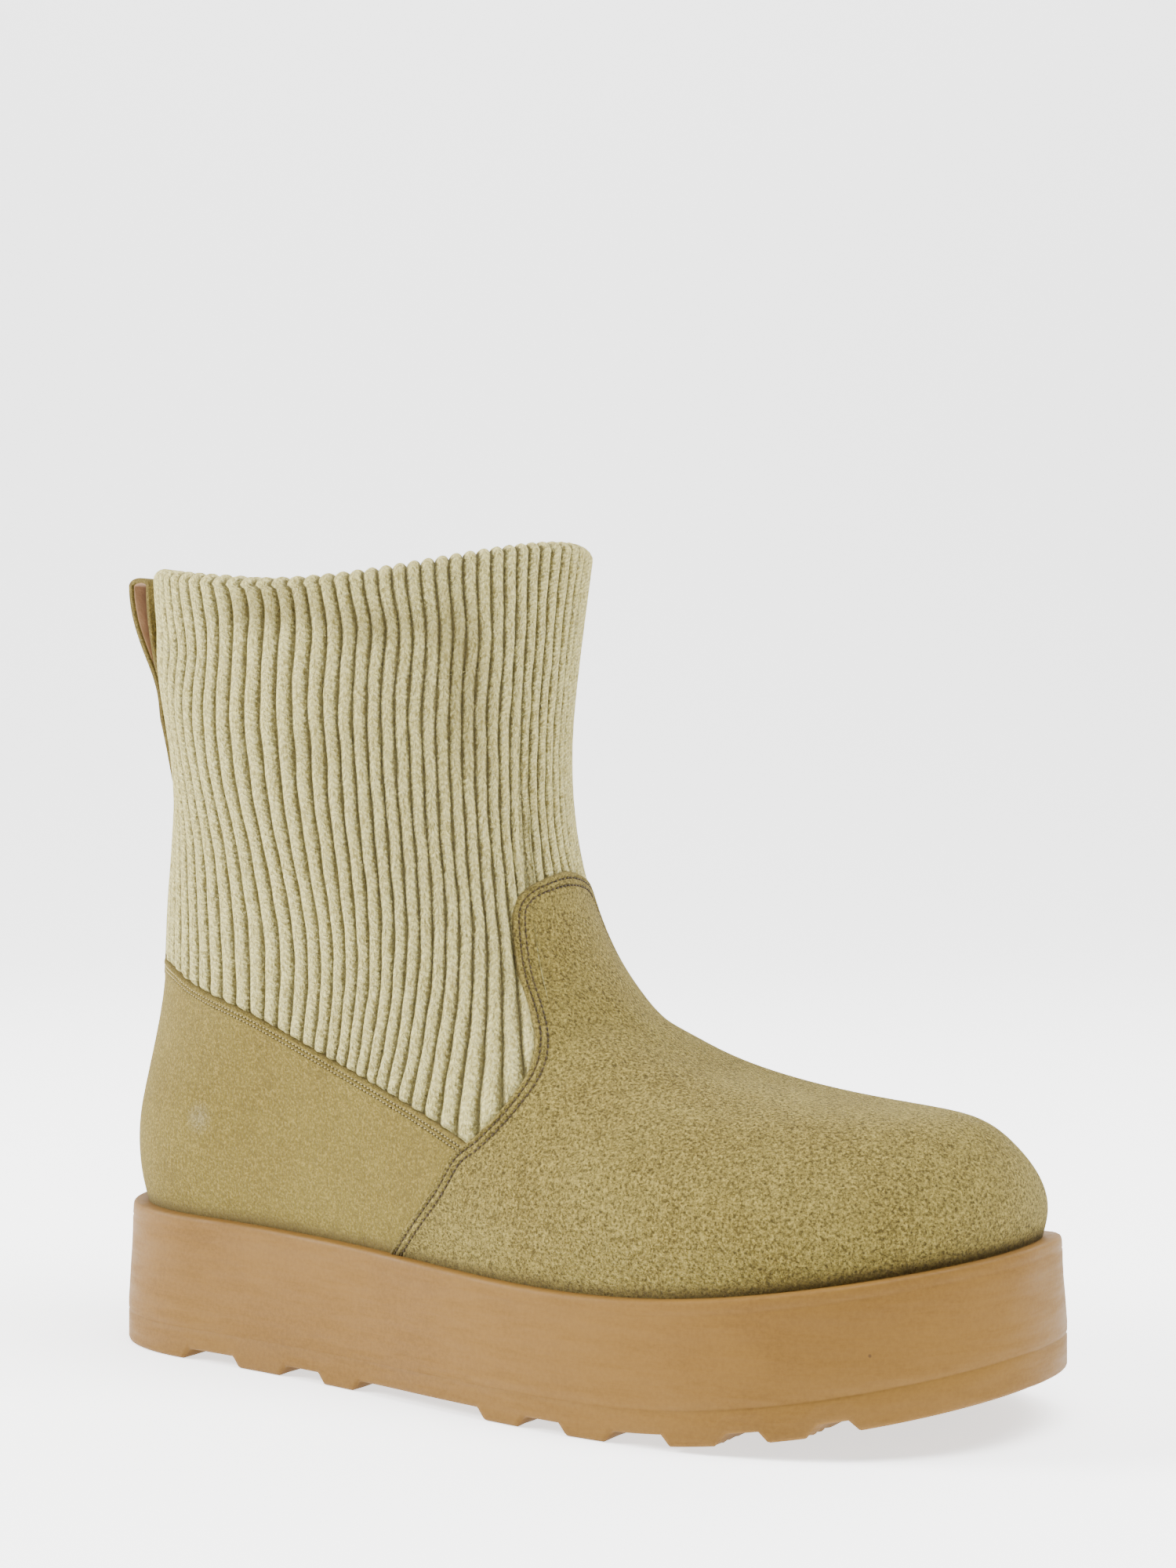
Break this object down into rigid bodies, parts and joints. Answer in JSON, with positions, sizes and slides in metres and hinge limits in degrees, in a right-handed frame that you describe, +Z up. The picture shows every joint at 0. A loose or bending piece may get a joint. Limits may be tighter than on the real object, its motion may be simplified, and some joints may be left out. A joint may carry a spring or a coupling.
{
  "type": "sweater boot",
  "caption": "Pull-on ankle boot with a ribbed knit shaft, suede vamp and heel counter, back pull loop and high rubber sole.",
  "frame": {"origin": "on the floor, under the middle of the boot's bounding box", "axes": "+X towards the toe, +Y towards the inner side of the foot, +Z up"},
  "size_m": [0.2928, 0.1168, 0.2345],
  "materials": {
    "rubber": "matt moulded rubber, tan",
    "lining": "soft woven sock lining, pale tan",
    "knit": "ribbed wool knit, cream",
    "suede": "fine suede nap, sand"
  },
  "bodies": {
    "root": {"outsole": "rubber", "midsole": "rubber", "insole": "lining", "upper": "knit", "vamp": "suede", "heel_counter": "suede", "back_strap": "suede", "pull_loop": "suede"}
  },
  "joints": []
}
